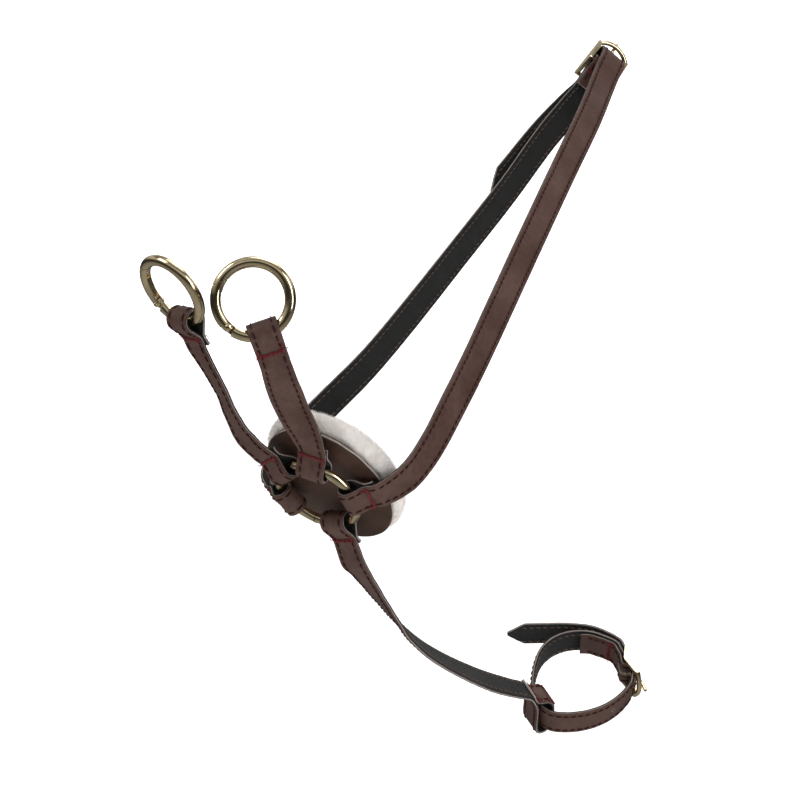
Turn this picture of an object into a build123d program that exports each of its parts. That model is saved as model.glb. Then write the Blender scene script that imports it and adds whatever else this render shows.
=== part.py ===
from build123d import *
from math import acos, cos, degrees, pi, radians, sin, sqrt
import os

# Toy-scale breastplate martingale, laid out as it is worn.
# Origin: centre of the chest ring. -Y is forward, +X is the horse's left, +Z is up.

# ---- driving dimensions, mm and degrees -------------------------------------------
strap_w = 14.0            # width of every strap along its run
loop_w = 12.4             # width where a strap is folded round a ring
leather_t = 0.95          # brown face layer
lining_t = 0.55           # black woven backing
layer_gap = 0.02          # glue line between the two layers
fold_gap = 0.03           # half the gap between the two legs of a sewn fold
strap_t = leather_t + lining_t

ring_r = 17.9             # chest ring, centreline radius
ring_wire_r = 2.0
snap_r = 14.75            # spring-gate ring, centreline radius
snap_wire_r = 2.25
ring_bore = 3.4           # inside radius of a strap loop on the chest ring
snap_bore = 3.75          # inside radius of a strap loop on a spring-gate ring
fold_meet = 7.4           # distance from the wire to where the legs of a fold meet
fold_tail = 11.5          # distance from the wire to the end of the folded tail

shield_gap = 7.2          # ring plane to the front of the leather shield
shield_t = 1.8
shield_rx, shield_ry, shield_edge = 28.0, 34.0, 0.6     # half sizes and edge rounding
fleece_rx, fleece_ry, fleece_edge = 30.0, 36.0, 4.5
fleece_t = 11.0
pad_shift = (1.0, -2.0)   # middle of the pad, seen from the middle of the ring
pad_seam = 0.1            # air between shield and fleece
run_steps = 3             # lofted sections between two hand-placed stations


# ---- small helpers ----------------------------------------------------------------
def unit(x, y, z):
    return Vector(x, y, z).normalized()


def mix(a, b, k):
    return a * (1 - k) + b * k


def curve_through(a, b, c, d, k):
    """Point on the smooth curve from b to c, with neighbours a and d."""
    return (b * 2 + (c - a) * k + (a * 2 - b * 5 + c * 4 - d) * k ** 2
            + (b * 3 - a - c * 3 + d) * k ** 3) * 0.5


class Frame:
    """One cross-section of a strap: a point on the lining's inner face, the outward
    direction, and half the width as a vector."""

    def __init__(self, place, out, half):
        self.place, self.out, self.half = place, out, half


def flat_frames(origin, u_axis, v_axis, points, width):
    """Frames along a bend that lies in one plane, mitred at each point."""
    across = u_axis.cross(v_axis) * (width / 2)
    frames = []
    for i, (u, v) in enumerate(points):
        before = points[max(i - 1, 0)]
        after = points[min(i + 1, len(points) - 1)]
        a = Vector(u - before[0], v - before[1], 0)
        b = Vector(after[0] - u, after[1] - v, 0)
        a = (a if a.length else b).normalized()
        b = (b if b.length else a).normalized()
        way = (a + b).normalized()
        mitre = 1 / max(0.7, way.dot(a))
        out = (u_axis * way.Y - v_axis * way.X) * mitre
        frames.append(Frame(origin + u_axis * u + v_axis * v, out, across))
    return frames


def fold_points(bore, meet=fold_meet, tail=fold_tail):
    """Tail, bore and main leg of a sewn fold round a bar at (0, 0); u leads away."""
    lean = degrees(acos(bore / meet))
    points = [(tail, fold_gap), ((tail + meet) / 2, fold_gap), (meet, fold_gap)]
    steps = 10
    for i in range(steps + 1):
        turn = radians(lean + (360 - 2 * lean) * i / steps)
        points.append((bore * cos(turn), bore * sin(turn)))
    return points + [(meet, -fold_gap), (tail + 0.5, -fold_gap)]


def run_frames(first, stations, last):
    """Frames between two folds, smooth through hand-placed stations
    (x, y, z, outward x, y, z)."""
    middle = [(Vector(*s[:3]), unit(*s[3:6])) for s in stations]
    ends = (first.half.length, last.half.length)
    line = [(first.place, first.out.normalized())] + middle
    line += [(last.place, last.out.normalized())]
    frames = []
    for i in range(len(line) - 1):
        a, b = line[max(i - 1, 0)], line[i]
        c, d = line[i + 1], line[min(i + 2, len(line) - 1)]
        for j in range(run_steps):
            k = j / run_steps
            if i == 0 and j == 0:
                continue
            place = curve_through(a[0], b[0], c[0], d[0], k)
            ahead = curve_through(a[0], b[0], c[0], d[0], k + 0.02)
            way = (ahead - place).normalized()
            out = mix(b[1], c[1], k * k * (3 - 2 * k))
            across = way.cross(out).normalized()
            share = (i + k) / (len(line) - 1)
            near_end = min(share, 1 - share) * (len(line) - 1)
            end = ends[0] if share < 0.5 else ends[1]
            half = mix(end, strap_w / 2, min(1.0, near_end / 1.4))
            frames.append(Frame(place, across.cross(way).normalized(), across * half))
    for i, frame in enumerate(frames):
        if frame.half.dot(first.half if i == 0 else frames[i - 1].half) < 0:
            frame.half = frame.half * -1
    return frames


def layer(frames, low, high):
    """Solid between two distances from the lining's inner face."""
    wires = []
    for f in frames:
        corners = [f.place + f.out * low - f.half, f.place + f.out * low + f.half,
                   f.place + f.out * high + f.half, f.place + f.out * high - f.half]
        wires.append(Wire.make_polygon(corners, close=True))
    return Solid.make_loft(wires, ruled=True)


def strap_layers(frames):
    return (layer(frames, lining_t + layer_gap, strap_t), layer(frames, 0, lining_t))


def bent_wire(radius, wire, start, end):
    """Round wire bent about the local Z axis, angles in degrees from local X."""
    a = radians(start)
    radial, along = Vector(cos(a), sin(a), 0), Vector(-sin(a), cos(a), 0)
    section = Plane(origin=radial * radius, x_dir=radial, z_dir=along) * Circle(wire)
    return revolve(section, axis=Axis.Z, revolution_arc=end - start)


def slab(points, half_height):
    """Flat plate with a polygon outline, centred on the local XY plane."""
    return extrude(make_face(Polyline(*points, close=True)), half_height, both=True)


def sector(inner, outer, start, end, half_height):
    """Flat plate covering part of a ring."""
    steps = 10
    angles = [radians(start + (end - start) * i / steps) for i in range(steps + 1)]
    rim = [(outer * cos(a), outer * sin(a)) for a in angles]
    bore = [(inner * cos(a), inner * sin(a)) for a in reversed(angles)]
    return slab(rim + bore, half_height)


def save(shape, node):
    export_step(shape, f"parts/{node}.step")


# ---- chest ring and the pad behind it ---------------------------------------------
side_axis = Vector(1, 0, 0)                 # across the chest
face_axis = unit(0, -0.738, -0.6745)        # the way the chest ring faces
rise_axis = face_axis.cross(side_axis)      # up the chest, in the ring's plane
chest = Plane(origin=(0, 0, 0), x_dir=side_axis, z_dir=face_axis)


def ring_place(angle):
    """Wire centre, tangent and outward radius of the chest ring at an angle."""
    a = radians(angle)
    radial = side_axis * cos(a) + rise_axis * sin(a)
    return radial * ring_r, face_axis.cross(radial), radial


def chest_ring():
    return chest * bent_wire(ring_r, ring_wire_r, 0, 360)


def pad_layer(rx, ry, near, thick, edge):
    """Oval pad with rounded rims; near is its distance behind the ring."""
    oval = extrude(Ellipse(rx, ry), -thick)
    oval = fillet(oval.edges().filter_by(lambda e: e.length > rx), edge)
    return chest * (Pos(*pad_shift, -near) * oval)


# ---- strap folds round rings ------------------------------------------------------
def ring_fold(angle, tilt, outward, skew=0):
    """Fold of a strap round the chest ring; tilt leans the strap towards the face and
    skew turns the loop on the wire."""
    wire, along, radial = ring_place(angle)
    k = radians(skew)
    along, radial = along * cos(k) + radial * sin(k), radial * cos(k) - along * sin(k)
    t = radians(tilt)
    away = radial * cos(t) + face_axis * sin(t)
    v_axis = away.cross(along)
    if v_axis.dot(outward) > 0:
        v_axis = v_axis * -1
    sagitta = ring_r - sqrt(ring_r ** 2 - (loop_w / 2) ** 2)
    origin = wire - radial * (sagitta / 2)
    return flat_frames(origin, away, v_axis, fold_points(ring_bore), loop_w)


def join(start_fold, stations, end_fold):
    """Whole strap: fold, run and fold, each fold listed from its tail."""
    end = list(reversed(end_fold))
    run = run_frames(start_fold[-1], stations, end[0])
    if end[0].half.dot(run[-1].half) < 0:
        for frame in end:
            frame.half = frame.half * -1
    return start_fold + run + end


# ---- spring-gate rings ------------------------------------------------------------
gate_hinge, gate_tip_out, gate_tip_in = 299.0, 232.0, 212.0
knuckle_gap = 10.5        # degrees of wire cut away beside the hinge
pin_r, pin_hole_r = 0.65, 0.70
eye_half, slot_half = 0.8, 1.1   # hinge eye on the body, and the slot in the gate for it
eye_long, eye_wide = 4.4, 3.5
gate_air = 0.2            # half the gap in the slanting parting face


def half_plane(offset, keep):
    """Block on one side of the slanting parting face of the gate."""
    a, b = radians(gate_tip_in), radians(gate_tip_out)
    low = Vector((snap_r - snap_wire_r) * cos(a), (snap_r - snap_wire_r) * sin(a), 0)
    high = Vector((snap_r + snap_wire_r) * cos(b), (snap_r + snap_wire_r) * sin(b), 0)
    way = (high - low).normalized()
    across = Vector(-way.Y, way.X, 0) * keep
    p, q = low - way * 8 + across * offset, high + way * 8 + across * offset
    far = across * 12
    return slab([(v.X, v.Y) for v in (p, q, q + far, p + far)], 4)


hinge_at = Vector(snap_r * cos(radians(gate_hinge)), snap_r * sin(radians(gate_hinge)), 0)


def snap_body():
    wire = bent_wire(snap_r, snap_wire_r, gate_hinge + knuckle_gap, 360 + gate_tip_out + 2)
    wire -= half_plane(-gate_air, 1)
    eye = extrude(SlotCenterToCenter(eye_long, eye_wide), eye_half, both=True)
    eye = Pos(hinge_at) * Rot(0, 0, gate_hinge + 96) * Pos(eye_long / 2, 0, 0) * eye
    hole = Pos(hinge_at) * Cylinder(pin_r + 0.01, 6)
    return wire + eye - hole


def snap_gate():
    wire = bent_wire(snap_r, snap_wire_r, gate_tip_in - 2, gate_hinge)
    wire += Pos(hinge_at) * Sphere(snap_wire_r)
    wire -= half_plane(-gate_air, -1)
    wire -= Pos(hinge_at) * Cylinder(2.9, 2 * slot_half)
    wire -= sector(snap_r - 3, snap_r + 1.1, gate_tip_out + 6, gate_hinge, slot_half)
    return wire - Pos(hinge_at) * Cylinder(pin_hole_r, 6)


def snap_pin():
    return Pos(hinge_at) * Cylinder(pin_r, 2 * snap_wire_r - 0.1)


def snap_spring():
    return sector(snap_r + 0.72, snap_r + 1.05, 258, 287, eye_half)


def snap_plane(centre, to_loop, face):
    return Plane(origin=centre, x_dir=to_loop, z_dir=face)


def snap_fold(plane, tilt):
    """Fold of a strap round a spring-gate ring, leading away from the ring."""
    radial, along, face = plane.x_dir, plane.y_dir, plane.z_dir
    t = radians(tilt)
    away = radial * cos(t) + face * sin(t)
    v_axis = away.cross(along)
    if v_axis.dot(face) > 0:
        v_axis = v_axis * -1
    sagitta = snap_r - sqrt(snap_r ** 2 - (loop_w / 2) ** 2)
    origin = plane.origin + radial * (snap_r - sagitta / 2)
    return flat_frames(origin, away, v_axis, fold_points(snap_bore, 7.6, 12.6), loop_w)


# Each snap strap: spring-gate ring, fold angle on the chest ring and the run between,
# stations from the chest ring upwards.
right_ring = snap_plane(Vector(8, -56, 84), unit(0.318, 0.108, -0.942),
                        unit(0.543, -0.836, 0.087))
left_ring = snap_plane(Vector(-30, -59, 86.5), unit(0.057, 0.542, -0.840),
                       unit(-0.225, -0.811, -0.539))
snap_straps = {
    "right": (right_ring, ring_fold(71.5, -8, face_axis),
              [(10.2, -24.5, 29.5, 0.22, -0.74, -0.64), (11.3, -33.5, 38.5, 0.33, -0.71, -0.62),
               (13.8, -44, 49, 0.48, -0.74, -0.46)], snap_fold(right_ring, -4)),
    "left": (left_ring, ring_fold(126, 0, face_axis, 5),
             [(-20.6, -20.2, 23.2, -0.10, -0.72, -0.69), (-22.3, -27, 32.5, -0.38, -0.66, -0.65),
              (-22.3, -33, 41, -0.50, -0.66, -0.56), (-23, -40, 51, -0.42, -0.74, -0.52)],
             snap_fold(left_ring, 0)),
}

# ---- buckles ----------------------------------------------------------------------
bar_r = 1.1
bar_bore = 1.4            # inside radius of the strap fold on the centre bar
rail_low, rail_high = 7.6, 9.4
rear_bar_x, rear_bar_z = -9.0, 4.8
front_x, arch_rise = 9.0, 3.5
tongue_r = 0.8


def rail_plate(front_z):
    outline = make_hull(
        (Pos(rear_bar_x, rear_bar_z) * Circle(1.25)).edges()
        + (Pos(0, 0.2) * Circle(1.5)).edges()
        + (Pos(front_x, front_z) * Circle(1.25)).edges())
    plate = extrude(Plane.XZ * outline, rail_high - rail_low)
    return Pos(0, rail_high, 0) * plate


def buckle_frame(front_z):
    """Centre-bar buckle: X towards the arch, Z away from the strap."""
    plate = rail_plate(front_z)
    frame = plate + mirror(plate, Plane.XZ)
    frame += Pos(rear_bar_x, 0, rear_bar_z) * Rot(90, 0, 0) * Cylinder(bar_r, 2 * rail_low + 1)
    frame += Rot(90, 0, 0) * Cylinder(bar_r, 2 * rail_low + 1)
    end = (rail_low + rail_high) / 2
    arch = ThreePointArc((front_x, -end, front_z), (front_x + arch_rise, 0, front_z),
                         (front_x, end, front_z))
    section = Plane(origin=arch @ 0, z_dir=arch % 0) * Circle(1.2)
    return frame + sweep(section, path=arch)


def buckle_tongue(front_z):
    """Tongue with its eye on the centre bar and its tip on the arch."""
    eye = Rot(90, 0, 0) * (Cylinder(2.2, 2.6) - Cylinder(bar_r + 0.06, 3))
    rest_z = front_z + 1.2 + 0.35 + tongue_r
    root, bend, tip = (1.75, 0, 0.35), (front_x - 2.5, 0, rest_z), (14.6, 0, rest_z)
    shank = Polyline(root, bend, tip)
    section = Plane(origin=root, z_dir=Vector(*bend) - Vector(*root)) * Circle(tongue_r)
    rod = sweep(section, path=shank, transition=Transition.RIGHT)
    rod -= Rot(90, 0, 0) * Cylinder(bar_r + 0.06, 3)
    return eye + rod + Pos(*tip) * Sphere(tongue_r)


def tongue_slot(low_x, high_x):
    """Opening in a strap for the tongue."""
    return Pos((low_x + high_x) / 2, 0, 0) * Box(high_x - low_x, 3.8, 16)


def chape_points():
    return fold_points(bar_bore, 5.5, 15.0)


# ---- neck strap: two halves joined by the neck buckle -----------------------------
neck_x, neck_y = unit(0.35, 0.50, 0.79), Vector(0.50, 0.60, -0.62)
neck_z = neck_x.cross(neck_y).normalized()
neck_buckle = Plane(origin=(2, 246, 187), x_dir=neck_x, z_dir=neck_z)
neck_front_z, girth_front_z = 1.2, 1.4
billet_gap = 0.45         # air between a strap and the billet that lies over it
billet_tip = (86, 91.5, 97)    # distances from the buckle of the billet's narrowing tip

far_stations = [
    (-32.2, 10, 0.5, -0.80, -0.44, -0.40), (-34, 15, 5.5, -1, 0, 0),
    (-33.2, 24, 14.5, -1, 0.08, -0.02), (-29.5, 36, 25, -0.98, 0.15, -0.05),
    (-25, 49, 35.5, -0.99, 0.12, -0.06), (-21, 71, 50, -0.99, 0.10, -0.06),
    (-19, 101, 70, -0.99, 0.11, -0.07), (-17, 140, 97, -0.99, 0.11, -0.06),
    (-14, 180, 126, -0.98, 0.15, -0.06), (-10, 212, 153, -0.94, 0.27, -0.05)]
near_stations = [
    (34.3, 7.2, 5.8, 0.75, -0.50, -0.44), (38, 14.5, 11.5, 0.94, -0.27, -0.15),
    (40.5, 25, 22, 0.98, -0.20, 0.05),
    (41, 38, 35, 0.97, -0.15, 0.19), (39, 60, 53, 0.95, -0.12, 0.29),
    (35, 88, 75, 0.93, -0.13, 0.35), (29, 125, 103, 0.91, -0.14, 0.39),
    (22, 168, 135, 0.90, -0.16, 0.40), (16, 204, 161, 0.87, -0.27, 0.42)]


def chape(plane, width):
    """Strap end folded round a buckle's centre bar, listed from its tail."""
    return flat_frames(plane.origin, plane.x_dir * -1, plane.z_dir * -1,
                       chape_points(), width)


def pointed(frames, fractions):
    """Narrow the last sections to the billet's point."""
    for frame, share in zip(frames[-len(fractions):], fractions):
        frame.half = frame.half * share
    return frames


def far_neck():
    return join(ring_fold(193.5, -20, face_axis), far_stations, chape(neck_buckle, strap_w))


def behind_far(far_frames):
    """Frames of the far half that the billet lies behind, each with its distance from the
    buckle, down to the closely spaced ones of the billet's tip."""
    origin = neck_buckle.origin
    below = [f for f in reversed(far_frames)
             if (f.place - origin).dot(neck_x) < -16.5 and f.out.dot(neck_z) > 0.5]
    spaced = [((f.place - origin).length, f) for f in below]
    found = [(reach, f) for reach, f in spaced if reach < billet_tip[0] - 4]
    for wanted in billet_tip:
        for (near, a), (far, b) in zip(spaced, spaced[1:]):
            if near <= wanted < far:
                k = (wanted - near) / (far - near)
                found.append((wanted, Frame(mix(a.place, b.place, k),
                                            mix(a.out, b.out, k).normalized(),
                                            mix(a.half, b.half, k))))
    return found


def near_neck(far_frames):
    """From the chest ring, up through the buckle and back down over the far half."""
    start = ring_fold(0, -14, face_axis)
    turn = [(-12, -13.6), (-7.5, -10.8), (-3, -8.2), (1.4, -6.0), (4.8, -4.0), (6.6, -1.9),
            (7.0, 0.8), (5.2, 3.0), (1.8, 3.7), (-2.5, 3.0), (-6, 2.1), (-9.5, 1.9),
            (-14, 1.9)]
    bend = flat_frames(neck_buckle.origin, neck_x, neck_z, turn, strap_w)
    run = run_frames(start[-1], near_stations, bend[0])
    sign = 1 if run[-1].half.dot(bend[0].half) > 0 else -1
    for frame in bend:
        frame.half = frame.half * sign
    tail = []
    for travelled, f in behind_far(far_frames):
        slip = f.half.normalized() * (0.5 + 0.045 * (travelled - 16))
        slip = slip if slip.dot(Vector(0, -1, 0.8)) > 0 else slip * -1
        half = f.half.normalized() * (strap_w / 2)
        half = half if half.dot(bend[-1].half) > 0 else half * -1
        lift = strap_t + billet_gap + 0.02 * (travelled - 16)
        tail.append(Frame(f.place + f.out * lift + slip, f.out, half))
    return start + run + bend + pointed(tail, [0.62, 0.1])


# ---- belly strap and girth collar -------------------------------------------------
collar_axis = unit(0.346, -0.532, 0.778)
collar_u = unit(0.839, 0.545, 0)            # across the collar, towards its buckle
collar_v = collar_axis.cross(collar_u)
collar_at = Vector(28.1, 179.3, -107.4)
loop_u, loop_v = -21.6, -16.4               # where the belly strap's end loop sits
loop_out = (-0.89, -0.45)

belly_stations = [
    (4.5, 21, -32, -0.05, -0.75, -0.65), (4.5, 29, -39, -0.25, -0.68, -0.68),
    (4, 39, -47.5, -0.38, -0.60, -0.69), (3, 51, -57, -0.50, -0.52, -0.67),
    (2, 64, -67, -0.62, -0.42, -0.64), (3.8, 78.5, -77.5, -0.64, -0.34, -0.68),
    (6.6, 94.5, -86.5, -0.64, -0.28, -0.71), (10, 111, -94.5, -0.66, -0.26, -0.70),
    (13.5, 124, -100, -0.68, -0.30, -0.66)]

collar_line = [(12.5, 21.3), (5, 24.4), (-4, 24.4), (-12, 21), (-18, 14.5), (-21.5, 5),
               (-22.9, -4), (-22.7, -11.5), (-20.6, -18.2), (-15.8, -22.9), (-9, -24.0),
               (0, -22.9), (9, -19.2), (16.7, -13.0)]
chape_tail = [(0.8, 24.1), (5.5, 23.8), (9, 22.4), (12.6, 20.8)]
collar_tail = [(12.5, 24.6), (5, 28), (-6, 29.3), (-16, 29.2), (-26, 29), (-30, 28.9),
               (-34.5, 28.8)]
buckle_u, buckle_v = 21.5, 7.0
buckle_way = (0.35, -0.937)                 # from the chape towards the arch


def smooth_line(points, steps):
    line = [Vector(*p, 0) for p in points]
    out = []
    for i in range(len(line) - 1):
        a, b = line[max(i - 1, 0)], line[i]
        c, d = line[i + 1], line[min(i + 2, len(line) - 1)]
        out += [curve_through(a, b, c, d, k / steps) for k in range(steps)]
    return [(p.X, p.Y) for p in out + [line[-1]]]


def in_plane(u, v):
    return collar_at + collar_u * u + collar_v * v


girth_x = collar_u * buckle_way[0] + collar_v * buckle_way[1]
girth_z = collar_u * -buckle_way[1] + collar_v * buckle_way[0]
girth_buckle = Plane(origin=in_plane(buckle_u, buckle_v), x_dir=girth_x, z_dir=girth_z)


def from_buckle(points):
    """Buckle-local (x, z) points in the collar's plane."""
    (cx, cy) = buckle_way
    return [(buckle_u + x * cx - z * cy, buckle_v + x * cy + z * cx) for x, z in points]


def girth_collar():
    fold = from_buckle([(-u, -v) for u, v in fold_points(bar_bore, 5.2, 11.5)])
    through = from_buckle([(11.5, -3.4), (8, -1.4), (5.2, 1.6), (2.2, 3.4), (-2, 3.2),
                           (-6, 2.2), (-9.5, 1.95), (-12.5, 2.0)])
    main = chape_tail + fold[:-1] + from_buckle([(-8.5, 0.03)])
    main += smooth_line(from_buckle([(-11.5, 0.03)]) + collar_line + through[:1], 2)
    main += through[1:] + smooth_line(collar_tail, 2)
    frames = flat_frames(collar_at, collar_u, collar_v, main, strap_w)
    return pointed(frames, [0.8, 0.5, 0.08])


def belly_strap():
    start = ring_fold(277, 15, face_axis)
    outward = collar_u * loop_out[0] + collar_v * loop_out[1]
    outward = outward.normalized()
    cap = [(-7.4 - 2.9 * sin(t), 2.9 * cos(t)) for t in (0, pi / 4, pi / 2, 3 * pi / 4, pi)]
    points = [(17.4, -6.67), (12, -4.17), (7.8, 3.0)] + cap
    points += [(7.8, -3.1), (12, -4.23), (17.4, -6.73)]
    origin = in_plane(loop_u, loop_v) - outward * 0.1
    end = flat_frames(origin, collar_axis, outward * -1, points, loop_w)
    return join(start, belly_stations, end)


# ---- build ------------------------------------------------------------------------
os.makedirs("parts", exist_ok=True)

save(chest_ring(), "chest_ring")
save(pad_layer(shield_rx, shield_ry, shield_gap, shield_t, shield_edge), "pad_shield")
save(pad_layer(fleece_rx, fleece_ry, shield_gap + shield_t + pad_seam, fleece_t, fleece_edge),
     "pad_fleece")

for side, (plane, ring_end, stations, snap_end) in snap_straps.items():
    strap_face, strap_back = strap_layers(join(ring_end, stations, snap_end))
    save(strap_face, f"snap_strap_{side}_leather")
    save(strap_back, f"snap_strap_{side}_lining")
    save(plane * snap_body(), f"snap_ring_{side}_body")
    save(plane * snap_gate(), f"snap_ring_{side}_gate")
    save(plane * snap_pin(), f"snap_ring_{side}_pin")
    save(plane * snap_spring(), f"snap_ring_{side}_spring")

far_frames = far_neck()
near_frames = near_neck(far_frames)
straps = {
    "neck_strap_far": (far_frames, neck_buckle, (-4.8, 3.2)),
    "neck_strap_near": (near_frames, neck_buckle, (2.4, 11)),
    "belly_strap": (belly_strap(), None, None),
    "girth_collar": (girth_collar(), girth_buckle, None),
}
for name, (frames, plane, span) in straps.items():
    layers = strap_layers(frames)
    if span:
        layers = [piece - plane * tongue_slot(*span) for piece in layers]
    if name == "girth_collar":
        cut = plane * (tongue_slot(-4.6, 3.2) + tongue_slot(3, 9.4))
        layers = [piece - cut for piece in layers]
    save(layers[0], f"{name}_leather")
    save(layers[1], f"{name}_lining")

for name, plane, front_z in (("neck", neck_buckle, neck_front_z),
                             ("girth", girth_buckle, girth_front_z)):
    save(plane * buckle_frame(front_z), f"{name}_buckle_frame")
    save(plane * buckle_tongue(front_z), f"{name}_buckle_tongue")
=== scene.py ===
import random
from math import acos, cos, degrees, exp, pi, radians, sin, sqrt

import bpy
from mathutils import Matrix, Vector, noise


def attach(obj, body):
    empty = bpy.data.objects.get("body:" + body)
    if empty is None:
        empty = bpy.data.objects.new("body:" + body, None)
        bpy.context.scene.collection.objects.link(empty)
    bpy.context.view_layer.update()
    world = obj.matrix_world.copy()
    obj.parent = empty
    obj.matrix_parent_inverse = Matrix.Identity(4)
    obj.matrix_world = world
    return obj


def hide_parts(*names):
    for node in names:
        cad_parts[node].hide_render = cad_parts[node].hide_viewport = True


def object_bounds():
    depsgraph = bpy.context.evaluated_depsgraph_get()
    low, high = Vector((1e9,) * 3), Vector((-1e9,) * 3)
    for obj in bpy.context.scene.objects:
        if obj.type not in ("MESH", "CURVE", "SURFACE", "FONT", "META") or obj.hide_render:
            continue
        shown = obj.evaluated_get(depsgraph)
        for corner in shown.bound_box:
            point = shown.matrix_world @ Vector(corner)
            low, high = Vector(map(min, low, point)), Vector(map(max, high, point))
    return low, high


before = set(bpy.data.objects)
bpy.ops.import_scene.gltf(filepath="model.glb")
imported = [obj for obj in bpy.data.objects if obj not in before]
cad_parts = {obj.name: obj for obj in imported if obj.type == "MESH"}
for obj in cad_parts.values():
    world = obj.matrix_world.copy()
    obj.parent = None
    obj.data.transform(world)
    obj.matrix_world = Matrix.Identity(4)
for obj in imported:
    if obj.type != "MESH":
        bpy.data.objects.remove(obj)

cad_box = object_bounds()

# Shapes below are worked out in millimetres, in the frame's axes, and scaled once
# when a mesh is made.
MM = 0.001

# ---- driving dimensions, mm and degrees ---------------------------------------------
strap_w, loop_w = 14.0, 12.4
leather_t, lining_t, layer_gap = 0.95, 0.55, 0.02
strap_t = leather_t + lining_t
fold_gap = 0.10
ring_r, ring_wire_r = 17.9, 2.0
snap_r, snap_wire_r = 14.75, 2.25
ring_bore, snap_bore = 3.4, 3.75
fold_meet, fold_tail = 7.4, 11.5
shield_gap, shield_t = 7.2, 1.8
shield_rx, shield_ry = 28.0, 34.0
fleece_rx, fleece_ry, fleece_t = 30.0, 36.0, 11.0
pad_shift = (1.0, -2.0)
run_steps = 3
gate_hinge, gate_tip_out, gate_tip_in = 299.0, 232.0, 212.0
ring_seam = 243.0         # where the chest ring is closed, round its plane

stitch_pitch = 3.3        # from one needle hole to the next
stitch_inset = 2.0        # from the strap's edge to the stitch line
rings_per_stitch = 6      # cross-sections of a strap mesh for each stitch
slot_half = 1.15          # half the width of the tongue's slot
needle_r = 0.42           # reach of the dimple round a needle hole
raw_share = 0.42          # share of a layer's thickness that shows as raw edge
fine_steps = 10           # points of a route's smooth curve from one section to the next


# ---- route of each strap, as in the CAD ---------------------------------------------
def unit(x, y, z):
    return Vector((x, y, z)).normalized()


def mix(a, b, k):
    return a * (1 - k) + b * k


def curve_through(a, b, c, d, k):
    """Point on the smooth curve from b to c, with neighbours a and d."""
    return (b * 2 + (c - a) * k + (a * 2 - b * 5 + c * 4 - d) * k ** 2
            + (b * 3 - a - c * 3 + d) * k ** 3) * 0.5


class Section:
    """One cross-section of a strap: a point on the lining's inner face, the outward
    direction, and half the width as a vector."""

    def __init__(self, place, out, half):
        self.place, self.out, self.half = place, out, half


def flat_sections(origin, u_axis, v_axis, points, width):
    """Sections along a bend that lies in one plane."""
    across = u_axis.cross(v_axis) * (width / 2)
    made = []
    for i, (u, v) in enumerate(points):
        before, after = points[max(i - 1, 0)], points[min(i + 1, len(points) - 1)]
        way = Vector((after[0] - before[0], after[1] - before[1])).normalized()
        out = u_axis * way.y - v_axis * way.x
        made.append(Section(origin + u_axis * u + v_axis * v, out, across.copy()))
    return made


def fold_points(bore, meet=fold_meet, tail=fold_tail, curl=0.9):
    """Tail, bore and main leg of a sewn fold round a bar at (0, 0); u leads away.
    The tail's free end curls up a little."""
    lean = degrees(acos(bore / meet))
    points = [(tail, fold_gap + curl), ((tail + meet) / 2 + 0.6, fold_gap + curl * 0.25),
              (meet, fold_gap)]
    steps = 10
    for i in range(steps + 1):
        turn = radians(lean + (360 - 2 * lean) * i / steps)
        points.append((bore * cos(turn), bore * sin(turn)))
    return points + [(meet, -fold_gap), (tail + 0.5, -fold_gap)]


def run_sections(first, stations, last):
    """Sections between two folds, through given stations."""
    middle = [(Vector(s[:3]), unit(*s[3:6])) for s in stations]
    line = [(first.place, first.out)] + middle + [(last.place, last.out)]
    ends = (first.half.length, last.half.length)
    made = []
    for i in range(len(line) - 1):
        a, b = line[max(i - 1, 0)], line[i]
        c, d = line[i + 1], line[min(i + 2, len(line) - 1)]
        for j in range(run_steps):
            k = j / run_steps
            if i == 0 and j == 0:
                continue
            place = curve_through(a[0], b[0], c[0], d[0], k)
            ahead = curve_through(a[0], b[0], c[0], d[0], k + 0.02)
            way = (ahead - place).normalized()
            across = way.cross(mix(b[1], c[1], k * k * (3 - 2 * k))).normalized()
            share = (i + k) / (len(line) - 1)
            near_end = min(share, 1 - share) * (len(line) - 1)
            end = ends[0] if share < 0.5 else ends[1]
            half = mix(end, strap_w / 2, min(1.0, near_end / 1.4))
            made.append(Section(place, across.cross(way).normalized(), across * half))
    for i, section in enumerate(made):
        if section.half.dot(first.half if i == 0 else made[i - 1].half) < 0:
            section.half.negate()
    return made


side_axis = Vector((1, 0, 0))
face_axis = unit(0, -0.738, -0.6745)
rise_axis = face_axis.cross(side_axis)


def ring_place(angle):
    """Wire centre, tangent and outward radius of the chest ring at an angle."""
    a = radians(angle)
    radial = side_axis * cos(a) + rise_axis * sin(a)
    return radial * ring_r, face_axis.cross(radial), radial


def loop_fold(origin, radial, along, face, tilt, points):
    """Fold round a curved wire; tilt leans the strap towards the face."""
    t = radians(tilt)
    away = radial * cos(t) + face * sin(t)
    v_axis = away.cross(along)
    if v_axis.dot(face) > 0:
        v_axis.negate()
    return flat_sections(origin, away, v_axis, points, loop_w)


def ring_fold(angle, tilt, curl=0.9, skew=0):
    wire, along, radial = ring_place(angle)
    k = radians(skew)
    along, radial = along * cos(k) + radial * sin(k), radial * cos(k) - along * sin(k)
    sagitta = ring_r - sqrt(ring_r ** 2 - (loop_w / 2) ** 2)
    return loop_fold(wire - radial * (sagitta / 2), radial, along, face_axis, tilt,
                     fold_points(ring_bore, curl=curl))


class Plane:
    def __init__(self, origin, x_dir, z_dir):
        self.origin, self.z = Vector(origin), z_dir.normalized()
        self.x = (x_dir - self.z * x_dir.dot(self.z)).normalized()
        self.y = self.z.cross(self.x)

    def at(self, x, y, z=0.0):
        return self.origin + self.x * x + self.y * y + self.z * z

    def matrix(self):
        m = Matrix((self.x, self.y, self.z)).transposed().to_4x4()
        m.translation = self.origin
        return m


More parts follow.
